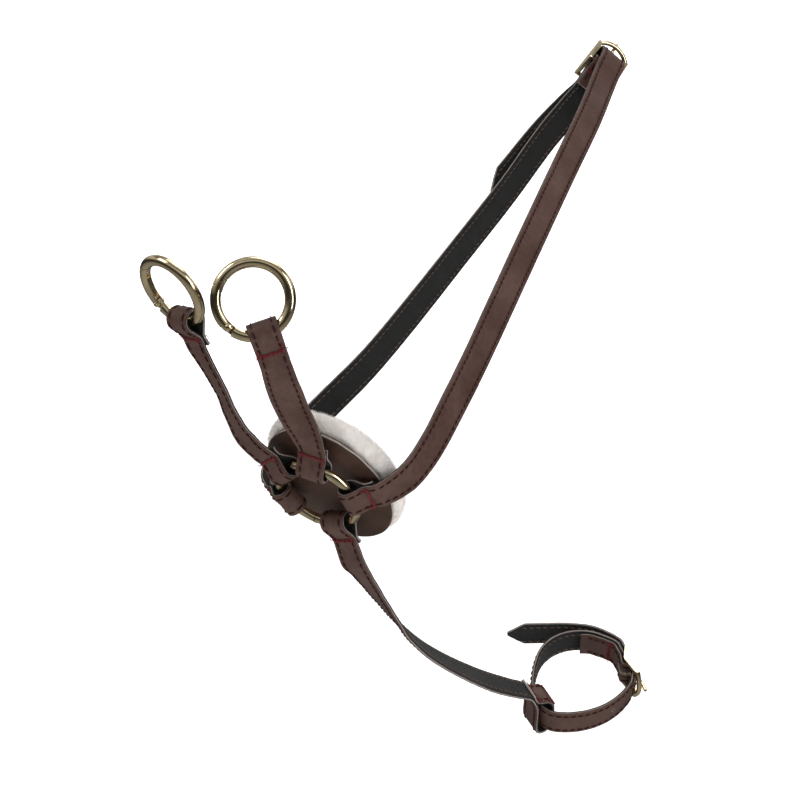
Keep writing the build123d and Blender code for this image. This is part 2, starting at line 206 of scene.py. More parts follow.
def snap_fold(plane, tilt):
    sagitta = snap_r - sqrt(snap_r ** 2 - (loop_w / 2) ** 2)
    return loop_fold(plane.origin + plane.x * (snap_r - sagitta / 2), plane.x, plane.y,
                     plane.z, tilt, fold_points(snap_bore, 7.6, 12.6, 0.6))


def join(start_fold, stations, end_fold):
    end = list(reversed(end_fold))
    run = run_sections(start_fold[-1], stations, end[0])
    if end[0].half.dot(run[-1].half) < 0:
        for section in end:
            section.half = section.half * -1
    return start_fold + run + end


def pointed(sections, fractions):
    for section, share in zip(sections[-len(fractions):], fractions):
        section.half = section.half * share
    return sections


chest = Plane((0, 0, 0), side_axis, face_axis)
right_ring = Plane((8, -56, 84), unit(0.318, 0.108, -0.942), unit(0.543, -0.836, 0.087))
left_ring = Plane((-30, -59, 86.5), unit(0.057, 0.542, -0.840), unit(-0.225, -0.811, -0.539))

neck_x, neck_side = unit(0.35, 0.50, 0.79), Vector((0.50, 0.60, -0.62))
neck_buckle = Plane((2, 246, 187), neck_x, neck_x.cross(neck_side))
bar_bore = 1.4
billet_gap = 0.45
billet_tip = (86, 91.5, 97)

far_stations = [
    (-32.2, 10, 0.5, -0.80, -0.44, -0.40), (-34, 15, 5.5, -1, 0, 0),
    (-33.2, 24, 14.5, -1, 0.08, -0.02), (-29.5, 36, 25, -0.98, 0.15, -0.05),
    (-25, 49, 35.5, -0.99, 0.12, -0.06), (-21, 71, 50, -0.99, 0.10, -0.06),
    (-19, 101, 70, -0.99, 0.11, -0.07), (-17, 140, 97, -0.99, 0.11, -0.06),
    (-14, 180, 126, -0.98, 0.15, -0.06), (-10, 212, 153, -0.94, 0.27, -0.05)]
near_stations = [
    (34.3, 7.2, 5.8, 0.75, -0.50, -0.44), (38, 14.5, 11.5, 0.94, -0.27, -0.15),
    (40.5, 25, 22, 0.98, -0.20, 0.05), (41, 38, 35, 0.97, -0.15, 0.19),
    (39, 60, 53, 0.95, -0.12, 0.29), (35, 88, 75, 0.93, -0.13, 0.35),
    (29, 125, 103, 0.91, -0.14, 0.39), (22, 168, 135, 0.90, -0.16, 0.40),
    (16, 204, 161, 0.87, -0.27, 0.42)]
belly_stations = [
    (4.5, 21, -32, -0.05, -0.75, -0.65), (4.5, 29, -39, -0.25, -0.68, -0.68),
    (4, 39, -47.5, -0.38, -0.60, -0.69), (3, 51, -57, -0.50, -0.52, -0.67),
    (2, 64, -67, -0.62, -0.42, -0.64), (3.8, 78.5, -77.5, -0.64, -0.34, -0.68),
    (6.6, 94.5, -86.5, -0.64, -0.28, -0.71), (10, 111, -94.5, -0.66, -0.26, -0.70),
    (13.5, 124, -100, -0.68, -0.30, -0.66)]
right_stations = [
    (10.2, -24.5, 29.5, 0.22, -0.74, -0.64), (11.3, -33.5, 38.5, 0.33, -0.71, -0.62),
    (13.8, -44, 49, 0.48, -0.74, -0.46)]
left_stations = [
    (-20.6, -20.2, 23.2, -0.10, -0.72, -0.69), (-22.3, -27, 32.5, -0.38, -0.66, -0.65),
    (-22.3, -33, 41, -0.50, -0.66, -0.56), (-23, -40, 51, -0.42, -0.74, -0.52)]


def far_neck():
    chape = flat_sections(neck_buckle.origin, neck_buckle.x * -1, neck_buckle.z * -1,
                          fold_points(bar_bore, 5.5, 15.0, 0.2), strap_w)
    return join(ring_fold(193.5, -20), far_stations, chape)


def behind_far(far):
    """Sections of the far half that the billet lies behind, each with its distance from
    the buckle, down to the closely spaced ones of the billet's tip."""
    origin = neck_buckle.origin
    below = [f for f in reversed(far)
             if (f.place - origin).dot(neck_buckle.x) < -16.5 and f.out.dot(neck_buckle.z) > 0.5]
    spaced = [((f.place - origin).length, f) for f in below]
    found = [(reach, f) for reach, f in spaced if reach < billet_tip[0] - 4]
    for wanted in billet_tip:
        for (near, a), (away, b) in zip(spaced, spaced[1:]):
            if near <= wanted < away:
                k = (wanted - near) / (away - near)
                found.append((wanted, Section(mix(a.place, b.place, k),
                                              mix(a.out, b.out, k).normalized(),
                                              mix(a.half, b.half, k))))
    return found


def near_neck(far):
    """From the chest ring, up through the buckle and back down over the far half."""
    start = ring_fold(0, -14)
    turn = [(-12, -13.6), (-7.5, -10.8), (-3, -8.2), (1.4, -6.0), (4.8, -4.0), (6.6, -1.9),
            (7.0, 0.8), (5.2, 3.0), (1.8, 3.7), (-2.5, 3.0), (-6, 2.1), (-9.5, 1.9),
            (-14, 1.9)]
    bend = flat_sections(neck_buckle.origin, neck_buckle.x, neck_buckle.z, turn, strap_w)
    run = run_sections(start[-1], near_stations, bend[0])
    if run[-1].half.dot(bend[0].half) < 0:
        for section in bend:
            section.half = section.half * -1
    tail = []
    for travelled, f in behind_far(far):
        slip = f.half.normalized() * (0.5 + 0.045 * (travelled - 16))
        slip = slip if slip.dot(Vector((0, -1, 0.8))) > 0 else slip * -1
        half = f.half.normalized() * (strap_w / 2)
        half = half if half.dot(bend[-1].half) > 0 else half * -1
        lift = strap_t + billet_gap + 0.02 * (travelled - 16)
        tail.append(Section(f.place + f.out * lift + slip, f.out, half))
    return start + run + bend + pointed(tail, [0.62, 0.1])


collar_axis, collar_u = unit(0.346, -0.532, 0.778), unit(0.839, 0.545, 0)
collar_v = collar_axis.cross(collar_u)
collar_at = Vector((28.1, 179.3, -107.4))
loop_u, loop_v = -21.6, -16.4
buckle_u, buckle_v = 21.5, 7.0
buckle_way = (0.35, -0.937)
collar_line = [(12.5, 21.3), (5, 24.4), (-4, 24.4), (-12, 21), (-18, 14.5), (-21.5, 5),
               (-22.9, -4), (-22.7, -11.5), (-20.6, -18.2), (-15.8, -22.9), (-9, -24.0),
               (0, -22.9), (9, -19.2), (16.7, -13.0)]
chape_tail = [(0.8, 24.1), (5.5, 23.8), (9, 22.4), (12.6, 20.8)]
collar_tail = [(12.5, 24.6), (5, 28), (-6, 29.3), (-16, 29.2), (-26, 29), (-30, 28.9),
               (-34.5, 28.8)]


def in_collar(u, v):
    return collar_at + collar_u * u + collar_v * v


girth_buckle = Plane(in_collar(buckle_u, buckle_v),
                     collar_u * buckle_way[0] + collar_v * buckle_way[1],
                     collar_u * -buckle_way[1] + collar_v * buckle_way[0])


def from_buckle(points):
    """Buckle-local (x, z) points in the collar's plane."""
    cx, cy = buckle_way
    return [(buckle_u + x * cx - z * cy, buckle_v + x * cy + z * cx) for x, z in points]


def girth_collar():
    fold = from_buckle([(-u, -v) for u, v in fold_points(bar_bore, 5.2, 11.5, 0.15)])
    through = from_buckle([(11.5, -3.4), (8, -1.4), (5.2, 1.6), (2.2, 3.4), (-2, 3.2),
                           (-6, 2.2), (-9.5, 1.95), (-12.5, 2.0)])
    main = chape_tail + fold[:-1] + from_buckle([(-8.5, 0.03), (-11.5, 0.03)])
    main += collar_line + through + collar_tail
    return pointed(flat_sections(collar_at, collar_u, collar_v, main, strap_w), [0.6, 0.08])


def belly_strap():
    outward = (collar_u * -0.89 + collar_v * -0.45).normalized()
    cap = [(-7.4 - 2.9 * sin(t), 2.9 * cos(t)) for t in (0, pi / 4, pi / 2, 3 * pi / 4, pi)]
    points = [(17.4, -6.55), (12, -4.05), (7.8, 3.0)] + cap
    points += [(7.8, -3.1), (12, -4.27), (17.4, -6.77)]
    end = flat_sections(in_collar(loop_u, loop_v) - outward * 0.1, collar_axis,
                        outward * -1, points, loop_w)
    return join(ring_fold(277, 15), belly_stations, end)


class Route:
    """A strap's path as closely and evenly spaced sections on one smooth curve."""

    def __init__(self, sections):
        dense = []
        count = len(sections)
        for i in range(count - 1):
            a, b = sections[max(i - 1, 0)], sections[i]
            c, d = sections[i + 1], sections[min(i + 2, count - 1)]
            for j in range(fine_steps):
                k = j / fine_steps
                half = mix(b.half, c.half, k)
                dense.append((self.between(a.place, b.place, c.place, d.place, k),
                              mix(b.out.normalized(), c.out.normalized(), k), half))
        last = sections[-1]
        dense.append((last.place, last.out, last.half))
        self.marks = [0.0]        # distance along the route of each given section
        travelled = [0.0]
        for i in range(1, len(dense)):
            travelled.append(travelled[-1] + (dense[i][0] - dense[i - 1][0]).length)
            if i % fine_steps == 0:
                self.marks.append(travelled[-1])
        self.length = travelled[-1]
        self.stitches = int(self.length / stitch_pitch)
        self.step = self.length / (self.stitches * rings_per_stitch)
        self.places, outs, self.halves = [], [], []
        j = 0
        for i in range(self.stitches * rings_per_stitch + 1):
            s = min(i * self.step, self.length)
            while j < len(dense) - 2 and travelled[j + 1] < s:
                j += 1
            k = (s - travelled[j]) / max(1e-9, travelled[j + 1] - travelled[j])
            k = min(max(k, 0.0), 1.0)
            self.places.append(mix(dense[j][0], dense[j + 1][0], k))
            outs.append(mix(dense[j][1], dense[j + 1][1], k))
            self.halves.append(mix(dense[j][2], dense[j + 1][2], k))
        self.ways, self.outs = [], []
        top = len(self.places) - 1
        for i in range(top + 1):
            way = (self.places[min(i + 1, top)] - self.places[max(i - 1, 0)]).normalized()
            half = self.halves[i] - way * self.halves[i].dot(way)
            self.halves[i] = half.normalized() * self.halves[i].length
            out = half.cross(way).normalized()
            self.outs.append(out if out.dot(outs[i]) > 0 else out * -1)
            self.ways.append(way)

    @staticmethod
    def between(a, b, c, d, k):
        """Smooth curve from b to c that doesn't swing wide where spacing changes."""
        gaps = [max(1e-6, sqrt((q - p).length)) for p, q in ((a, b), (b, c), (c, d))]
        if (b - a).length < 1e-6:
            a, gaps[0] = b - (c - b), gaps[1]
        if (d - c).length < 1e-6:
            d, gaps[2] = c + (c - b), gaps[1]
        t1, t2, t3 = gaps[0], gaps[0] + gaps[1], sum(gaps)
        t = t1 + k * gaps[1]
        a1 = a * ((t1 - t) / t1) + b * (t / t1)
        a2 = b * ((t2 - t) / gaps[1]) + c * ((t - t1) / gaps[1])
        a3 = c * ((t3 - t) / gaps[2]) + d * ((t - t2) / gaps[2])
        b1 = a1 * ((t2 - t) / t2) + a2 * (t / t2)
        b2 = a2 * ((t3 - t) / (t3 - t1)) + a3 * ((t - t1) / (t3 - t1))
        return b1 * ((t2 - t) / gaps[1]) + b2 * ((t - t1) / gaps[1])

    def at(self, s, x, h):
        """Point at distance s, x mm to the side and h mm out from the lining's face."""
        s = min(max(s, 0.0), self.length)
        i = min(int(s / self.step), len(self.places) - 2)
        k = s / self.step - i
        half = mix(self.halves[i], self.halves[i + 1], k).normalized()
        return (mix(self.places[i], self.places[i + 1], k) + half * x
                + mix(self.outs[i], self.outs[i + 1], k) * h)

    def half_width(self, s):
        i = min(max(int(s / self.step), 0), len(self.places) - 1)
        return self.halves[i].length


# ---- mesh helpers -------------------------------------------------------------------
def mesh_object(name, verts, faces, materials, slots=None, uvs=None, smooth=True):
    mesh = bpy.data.meshes.new(name)
    mesh.from_pydata([v * MM for v in verts], [], faces)
    for m in materials:
        mesh.materials.append(m)
    if slots:
        mesh.polygons.foreach_set("material_index", slots)
    if uvs:
        layer = mesh.uv_layers.new(name="along")
        for loop in mesh.loops:
            layer.data[loop.index].uv = uvs[loop.vertex_index]
    mesh.polygons.foreach_set("use_smooth", [smooth] * len(mesh.polygons))
    mesh.validate()
    mesh.update()
    o = bpy.data.objects.new(name, mesh)
    bpy.context.scene.collection.objects.link(o)
    return o


def ring_faces(rows, around, start=0, flip=False):
    """Faces between rows of vertices that each close on themselves."""
    faces = []
    for i in range(rows - 1):
        a, b = start + i * around, start + (i + 1) * around
        for j in range(around):
            k = (j + 1) % around
            faces.append((a + j, b + j, b + k, a + k) if flip else (a + j, a + k, b + k, b + j))
    return faces


def place(o, body, slot, *nodes):
    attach(o, body)
    if nodes:
        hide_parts(*nodes)
    return o


# Columns across a strap 14 mm wide, from one edge to the other.
strap_columns = [-6.72, -5.45, -5.0, -4.55, -2.8, -slot_half, 0.0, slot_half, 2.8, 4.55, 5.0,
                 5.45, 6.72]
stitch_columns = (2, len(strap_columns) - 3)
slot_columns = (5, 6)     # the two strips of faces a tongue's slot takes out


def ribbon(name, route, low, high, face_bulge, dips, materials, windows=(), rough=0.0,
           seed=0):
    """One layer of a strap. dips are how far the stitch lines pull in: along the line
    and at each needle hole. windows are the tongue's slots: the buckle's plane, low and
    high x, low and high z."""
    verts, uvs, faces, slots = [], [], [], []
    edge = min(0.22, (high - low) * 0.35)
    raw = mix(low, high, raw_share)
    columns = len(strap_columns)
    ring = columns * 2 + 6
    for i, spot in enumerate(route.places):
        half = route.halves[i]
        scale = half.length / (strap_w / 2)
        across = half.normalized()
        phase = abs((i / rings_per_stitch + 0.5) % 1 - 0.5) * stitch_pitch
        hole = exp(-(phase / needle_r) ** 2)
        s = i * route.step

        def point(x, h):
            wobble = rough * noise.noise(Vector((x * 0.55 + seed, s * 0.55, seed)))
            verts.append(spot + across * x + route.outs[i] * (h + wobble))
            uvs.append((x, s))

        for x in strap_columns:
            point(x * scale, low)
        point(half.length - 0.03, low + edge * 0.6)
        point(half.length, raw)
        point(half.length - 0.02, high - edge)
        for j in range(columns - 1, -1, -1):
            x = strap_columns[j]
            share = x / strap_columns[-1]
            h = high + face_bulge * (1 - share * share)
            if j in stitch_columns:
                h -= dips[0] + dips[1] * hole
            elif j in (stitch_columns[0] - 1, stitch_columns[0] + 1, stitch_columns[1] - 1,
                       stitch_columns[1] + 1):
                h -= dips[0] * 0.3
            point(x * scale, h)
        point(-half.length + 0.02, high - edge)
        point(-half.length, raw)
        point(-half.length + 0.03, low + edge * 0.6)

    def cut(i):
        for plane, low_x, high_x, low_z, high_z in windows:
            rel = (route.places[i] + route.outs[i] * strap_t / 2) - plane.origin
            if low_x < rel.dot(plane.x) < high_x and low_z < rel.dot(plane.z) < high_z:
                return True
        return False

    top = columns + 3         # first vertex of the face side
    top_of = {j: top + (columns - 1 - j) for j in range(columns)}
    raw_sides = (columns - 1, columns, ring - 2, ring - 1)
    last = len(route.places) - 1
    for i in range(last):
        a, b = i * ring, (i + 1) * ring
        open_here = cut(i) and cut(i + 1)
        for j in range(ring):
            k = (j + 1) % ring
            strip = None
            if j < columns - 1:
                strip = j
            elif top <= j < top + columns - 1:
                strip = columns - 2 - (j - top)
            if open_here and strip in slot_columns:
                continue
            faces.append((a + j, a + k, b + k, b + j))
            slots.append(1 if j in raw_sides else 0)
        if open_here:
            for j, flip in ((slot_columns[0], True), (slot_columns[1] + 1, False)):
                t = top_of[j]
                quad = (a + j, a + t, b + t, b + j)
                faces.append(quad if flip else tuple(reversed(quad)))
                slots.append(1)
        if open_here != (i > 0 and cut(i - 1) and cut(i)) and 0 < i:
            j0, j1, j2 = slot_columns[0], slot_columns[1], slot_columns[1] + 1
            for p, q in ((j0, j1), (j1, j2)):
                faces.append((a + p, a + q, a + top_of[q], a + top_of[p]))
                slots.append(1)
    faces.append(tuple(reversed(range(ring))))
    faces.append(tuple(last * ring + j for j in range(ring)))
    slots += [1, 1]
    return mesh_object(name, verts, faces, materials, slots, uvs)


class Threads:
    """Short lengths of thread collected into one mesh."""

    def __init__(self, seed):
        self.verts, self.faces, self.uvs = [], [], []
        self.dice = random.Random(seed)

    def add(self, points, radius, sides=6):
        base = len(self.verts)
        travelled = 0.0
        side = None
        for i, p in enumerate(points):
            way = (points[min(i + 1, len(points) - 1)] - points[max(i - 1, 0)]).normalized()
            if side is None:
                side = way.orthogonal().normalized()
            side = (side - way * side.dot(way)).normalized()
            up = way.cross(side)
            travelled += (p - points[max(i - 1, 0)]).length
            r = radius * (0.75 if i in (0, len(points) - 1) else 1.0)
            for j in range(sides):
                a = 2 * pi * j / sides
                self.verts.append(p + side * (r * cos(a)) + up * (r * sin(a)))
                self.uvs.append((j / sides, travelled))
        self.faces += ring_faces(len(points), sides, base)
        self.faces.append(tuple(base + j for j in reversed(range(sides))))
        end = base + (len(points) - 1) * sides
        self.faces.append(tuple(end + j for j in range(sides)))

    def stitch(self, route, s0, x0, s1, x1, surface, radius, rise=0.2):
        """One stitch that dives into the strap at both ends; surface is the height it
        lies on, and a negative rise puts it on the lining's side."""
        points = []
        for k, lift in ((0, -0.7), (0.12, 0.45), (0.35, 0.95), (0.65, 0.95), (0.88, 0.45),
                        (1, -0.7)):
            points.append(route.at(mix(s0, s1, k), mix(x0, x1, k), surface + rise * lift))
        self.add(points, radius)

    def rows(self, route, start, end, surface, radius, rise, slant, hidden):
        """Both stitch lines of a strap, from start to end along it; hidden is how much of
        each pitch the thread spends inside the strap."""
        first, last = int(start / stitch_pitch) + 1, int(end / stitch_pitch)
        pitch = route.length / route.stitches
        for k in range(first, last):
            for side in (-1, 1):
                x = side * (route.half_width(k * pitch) - stitch_inset)
                shift = slant + self.dice.uniform(-0.08, 0.08)
                s = k * pitch
                self.stitch(route, s + hidden / 2, x - shift, s + pitch - hidden / 2,
                            x + shift, surface, radius, rise)

    def bar_tack(self, route, s, back, surface, rise):
        """Tack across a fold at s, with a few stitches back along both edges."""
        half = route.half_width(s) - 0.9
        count = 7
        for row in (0, 1):
            drift = self.dice.uniform(-0.35, 0.35)
            for k in range(count):
                x0 = -half + 2 * half * k / count
                x1 = x0 + 2 * half / count * 1.15
                zig = 0.3 if (k + row) % 2 else -0.3
                y = s + row * 0.75 * back + drift * (k / count - 0.5)
                self.stitch(route, y + zig, x0, y - zig + self.dice.uniform(-0.15, 0.15),
                            x1, surface + 0.12 * row, 0.40, rise)
        for side in (-1, 1):
            for k in range(2):
                y = s - back * (0.2 + 1.7 * k)
                x = side * (half - 0.35)
                self.stitch(route, y, x, y - back * 1.6, x + self.dice.uniform(-0.35, 0.2) * side,
                            surface + 0.05, 0.36, rise)
            self.loose_end(route, s, side * half, surface + 0.2)

    def loose_end(self, route, s, x, surface):
        """Cut end of a thread standing off the strap's edge."""
        side = 1 if x > 0 else -1
        reach, drop = self.dice.uniform(0.9, 2.1), self.dice.uniform(-1.4, 1.4)
        points = [route.at(s + drop * k * k, x + side * reach * k,
                           surface + 0.35 * sin(pi * k)) for k in (0, 0.3, 0.6, 0.85, 1)]
        self.add(points, 0.17)

    def object(self, name, material):
        return mesh_object(name, self.verts, self.faces, [material], None, self.uvs)


# ---- materials ----------------------------------------------------------------------
class Nodes:
    """A material's node tree, built a step at a time."""

    def __init__(self, name, **settings):
        self.material = bpy.data.materials.new(name)
        self.material.use_nodes = True
        self.tree = self.material.node_tree
        self.shader = next(n for n in self.tree.nodes if n.type == "BSDF_PRINCIPLED")
        for key, value in settings.items():
            self.shader.inputs[key.replace("_", " ")].default_value = value

    def add(self, kind, settings=None, **inputs):
        node = self.tree.nodes.new("ShaderNode" + kind)
        for key, value in (settings or {}).items():
            setattr(node, key, value)
        for key, value in inputs.items():
            self.feed(node, key.replace("_", " "), value)
        return node

    def feed(self, node, key, value):
        socket = node.inputs[int(key)] if key.isdigit() else node.inputs[key]
        if hasattr(value, "outputs"):
            value = value.outputs[0]
        if isinstance(value, bpy.types.NodeSocket):
            self.tree.links.new(value, socket)
        else:
            socket.default_value = value

    def uv(self, scale=(1, 1, 1), turn=0.0):
        source = self.add("TexCoord").outputs["UV"]
        return self.add("Mapping", Vector=source, Scale=scale, Rotation=(0, 0, radians(turn)))

    def solid(self, scale=(1, 1, 1)):
        source = self.add("TexCoord").outputs["Object"]
        return self.add("Mapping", Vector=source, Scale=scale)

    def noise(self, where, scale, detail=3.0, rough=0.5):
        return self.add("TexNoise", Vector=where, Scale=scale, Detail=detail, Roughness=rough)

    def ramp(self, value, stops):
        node = self.add("ValToRGB", Fac=value)
        points = node.color_ramp.elements
        while len(points) < len(stops):
            points.new(0.5)
        for point, (at, colour) in zip(points, stops):
            point.position = at
            point.color = (*colour, 1) if len(colour) == 3 else colour
        return node

    def grey(self, value, a, b, low=0.0, high=1.0):
        return self.add("MapRange", Value=value, **{"From_Min": low, "From_Max": high,
                                                   "To_Min": a, "To_Max": b})

    def math(self, kind, a, b=0.5):
        return self.add("Math", {"operation": kind}, **{"0": a, "1": b})

    def blend(self, factor, a, b, kind="MIX"):
        node = self.add("Mix", {"data_type": "RGBA", "blend_type": kind})
        self.feed(node, "0", factor)
        self.feed(node, "6", a)
        self.feed(node, "7", b)
        return node.outputs[2]

    def bump(self, height, distance, strength=1.0, below=None):
        node = self.add("Bump", Height=height, Distance=distance, Strength=strength)
        if below:
            self.feed(node, "Normal", below)
        return node

    def finish(self, **links):
        for key, value in links.items():
            self.feed(self.shader, key.replace("_", " "), value)
        return self.material


def rgba(r, g, b):
    return (r, g, b, 1.0)


def leather(name, dark, light, roughness):
    n = Nodes(name, Coat_Weight=0.05, Coat_Roughness=0.35, Specular_IOR_Level=0.3)
    where = n.solid()
    patches = n.noise(where, 55, 4.0)
    colour = n.ramp(patches, [(0.33, dark), (0.68, light)])
    pebble = n.add("TexVoronoi", {"feature": "F1"}, Vector=where, Scale=1900.0)
    creases = n.add("TexVoronoi", {"feature": "DISTANCE_TO_EDGE"}, Vector=where, Scale=900.0)
    crease = n.grey(creases.outputs["Distance"], 0.0, 1.0, 0.0, 0.12)
    worn = n.noise(where, 420, 5.0, 0.65)
    tone = n.grey(worn, 0.82, 1.22, 0.3, 0.75)
    colour = n.blend(1.0, colour, tone.outputs[0], "MULTIPLY")
    first = n.bump(n.grey(pebble.outputs["Distance"], 1.0, 0.0, 0.0, 0.7), 0.00005, 0.55)
    second = n.bump(crease, 0.00004, 0.4, first)
    third = n.bump(patches, 0.0003, 0.35, second)
    rough = n.grey(worn, roughness - 0.07, roughness + 0.12, 0.3, 0.7)
    return n.finish(Base_Color=colour, Roughness=rough, Normal=third)


def cut_edge(name, colour):
    """Raw edge of coated leather: pale fibres packed in thin layers."""
    n = Nodes(name, Roughness=0.85, Specular_IOR_Level=0.2)
    where = n.solid()
    fibres = n.noise(where, 2600, 4.0, 0.7)
    dark = tuple(c * 0.5 for c in colour)
    tint = n.ramp(fibres, [(0.3, dark), (0.62, colour)])
    return n.finish(Base_Color=tint, Normal=n.bump(fibres, 0.00012, 0.8))


def webbing(name, dark, light):
    """Black twill backing, woven along the strap."""
    n = Nodes(name, Roughness=0.88, Specular_IOR_Level=0.18, Sheen_Weight=0.12,
              Sheen_Roughness=0.5)
    warp = n.add("TexWave", {"bands_direction": "X", "wave_profile": "SIN"},
                 Vector=n.uv(turn=32), Scale=0.62, Distortion=0.6, Detail=2.0, Detail_Scale=1.5)
    weft = n.add("TexWave", {"bands_direction": "X", "wave_profile": "SIN"},
                 Vector=n.uv(turn=-58), Scale=0.52, Distortion=0.5, Detail=1.0)
    weave = n.math("MULTIPLY", warp.outputs["Fac"], weft.outputs["Fac"])
    where = n.solid()
    lint = n.noise(where, 1500, 5.0, 0.75)
    cloud = n.noise(where, 90, 3.0)
    colour = n.ramp(weave, [(0.05, dark), (0.85, light)])
    colour = n.blend(n.grey(lint, 0.0, 0.22, 0.55, 0.85).outputs[0], colour,
                     rgba(0.16, 0.13, 0.12))
    tone = n.grey(cloud, 0.75, 1.3, 0.3, 0.7)
    colour = n.blend(1.0, colour, tone.outputs[0], "MULTIPLY")
    first = n.bump(weave, 0.00022, 0.9)
    return n.finish(Base_Color=colour, Normal=n.bump(lint, 0.0001, 0.5, first))


def thread(name, dark, light, roughness=0.55):
    n = Nodes(name, Roughness=roughness, Sheen_Weight=0.08, Sheen_Roughness=0.4,
              Specular_IOR_Level=0.15)
    twist = n.add("TexWave", {"bands_direction": "DIAGONAL"}, Vector=n.uv((1, 2.2, 1)),
                  Scale=1.1, Distortion=0.3)
    fuzz = n.noise(n.solid(), 2400, 3.0, 0.7)
    colour = n.ramp(n.math("MULTIPLY", twist.outputs["Fac"], fuzz), [(0.1, dark), (0.55, light)])
    first = n.bump(twist.outputs["Fac"], 0.00016, 0.9)
    return n.finish(Base_Color=colour, Normal=n.bump(fuzz, 0.00008, 0.6, first))


def metal(name, colour, deep, roughness):
    n = Nodes(name, Metallic=1.0)
    where = n.solid()
    haze = n.noise(where, 140, 4.0, 0.6)
    scratches = n.noise(n.solid((1, 1, 7)), 900, 5.0, 0.6)
    tint = n.ramp(haze, [(0.35, deep), (0.62, colour)])
    rough = n.grey(haze, roughness - 0.04, roughness + 0.07, 0.35, 0.7)
    wave = n.bump(haze, 0.0006, 0.12)
    return n.finish(Base_Color=tint, Roughness=rough,
                    Normal=n.bump(scratches, 0.00001, 0.25, wave))


def pile(name, dark, light):
    n = Nodes(name, Roughness=0.95, Sheen_Weight=0.45, Sheen_Roughness=0.5,
              Specular_IOR_Level=0.1, Subsurface_Weight=0.12, Subsurface_Scale=0.002)
    n.shader.inputs["Subsurface Radius"].default_value = (1.0, 0.8, 0.7)
    where = n.solid()
    tufts = n.noise(where, 260, 5.0, 0.65)
    broad = n.noise(where, 45, 2.0)
    colour = n.ramp(n.math("ADD", n.math("MULTIPLY", tufts, 0.6),
                           n.math("MULTIPLY", broad, 0.4)), [(0.36, dark), (0.56, light)])
    fine = n.noise(where, 1400, 4.0, 0.7)
    return n.finish(Base_Color=colour,
                    Normal=n.bump(fine, 0.0003, 0.7, n.bump(tufts, 0.0007, 0.6)))


brown = leather("brown_leather", (0.072, 0.035, 0.026), (0.108, 0.058, 0.046), 0.44)
shield_brown = leather("shield_leather", (0.060, 0.031, 0.020), (0.088, 0.048, 0.033), 0.50)
greige = cut_edge("cut_edge", (0.46, 0.41, 0.38))
black = webbing("black_webbing", (0.004, 0.004, 0.004), (0.024, 0.0225, 0.022))
black_edge = cut_edge("webbing_edge", (0.045, 0.042, 0.040))
burgundy = thread("burgundy_thread", (0.016, 0.002, 0.002), (0.085, 0.012, 0.011))
tack_red = thread("tack_thread", (0.080, 0.008, 0.011), (0.360, 0.050, 0.055))
tan_thread = thread("lining_thread", (0.060, 0.036, 0.026), (0.420, 0.270, 0.200), 0.7)
gold = metal("pale_gold", (0.90, 0.76, 0.50), (0.76, 0.61, 0.36), 0.12)
steel = metal("spring_steel", (0.62, 0.61, 0.60), (0.48, 0.47, 0.46), 0.28)
fleece_pile = pile("fleece_pile", (0.76, 0.70, 0.655), (0.93, 0.89, 0.86))
# Near black: the chest ring's dark seam line, and on the girth collar a punched hole's painted
# shade over the black lining beneath it.
punched = cut_edge("punched_hole", (0.020, 0.015, 0.013))

# ---- straps -------------------------------------------------------------------------
# Sections 0-2 of a fold are its tail, 3-13 its bore and 14-15 its main leg. The collar's
# chape has four more before them. Each bar tack below is (the section it is counted from,
# how far beyond, which way its side stitches run).
tack_in = 0.6             # from where a fold's legs meet to its bar tack
start_tacks = {"fold": ((14, tack_in, 1), (2, -tack_in, -1)),
               "chape": ((18, 8.0, 1), (6, -9.0, -1))}
end_tacks = {"fold": ((-15, -tack_in, -1), (-3, tack_in, 1)),
             "loop": ((-3, -tack_in, -1), (-2, tack_in, 1)),
             "free": ()}
last_stitch = {"fold": 3.0, "loop": 3.0, "free": 7.0}      # from the strap's end
face_stitch = {"surface": strap_t - 0.06, "radius": 0.34, "rise": 0.28, "slant": 0.12,
               "hidden": 1.0}
lining_stitch = {"surface": 0.02, "radius": 0.24, "rise": -0.22, "slant": 0.1,
                 "hidden": 1.3}
tack_surface, tack_rise = strap_t + 0.02, 0.3
face_bulge, face_dips = 0.06, (0.1, 0.2)
face_rough, lining_rough = 0.10, 0.06
seed_step = 7.3           # keeps the straps' surfaces from repeating each other

far_sections = far_neck()
straps = {
    # name: (sections, body, tongue slots, kind of start, kind of end)
    "snap_strap_right": (join(ring_fold(71.5, -8), right_stations, snap_fold(right_ring, -4)),
                         "snap_strap_right", (), "fold", "fold"),
    "snap_strap_left": (join(ring_fold(126, 0, skew=5), left_stations, snap_fold(left_ring, 0)),
                        "snap_strap_left", (), "fold", "fold"),
    "neck_strap_far": (far_sections, "root",
                       ((neck_buckle, -4.8, 3.2, -3, 4),), "fold", "fold"),
    "neck_strap_near": (near_neck(far_sections), "root",
                        ((neck_buckle, 2.4, 11, 0.9, 5.2),), "fold", "free"),
    "belly_strap": (belly_strap(), "belly_strap", (), "fold", "loop"),
    "girth_collar": (girth_collar(), "girth_collar",
                     ((girth_buckle, -4.6, 3.2, -3, 3), (girth_buckle, 2.6, 9.4, 0.2, 5)),
                     "chape", "free"),
}


def lining_shows(route, start, end):
    """First and last distance along a strap at which its lining's stitches show."""
    low = route.marks[start_tacks[start][0][0]] + 2
    if end == "free":
        return low, route.length - 6
    return low, route.marks[-15 if end == "fold" else -9] - 2


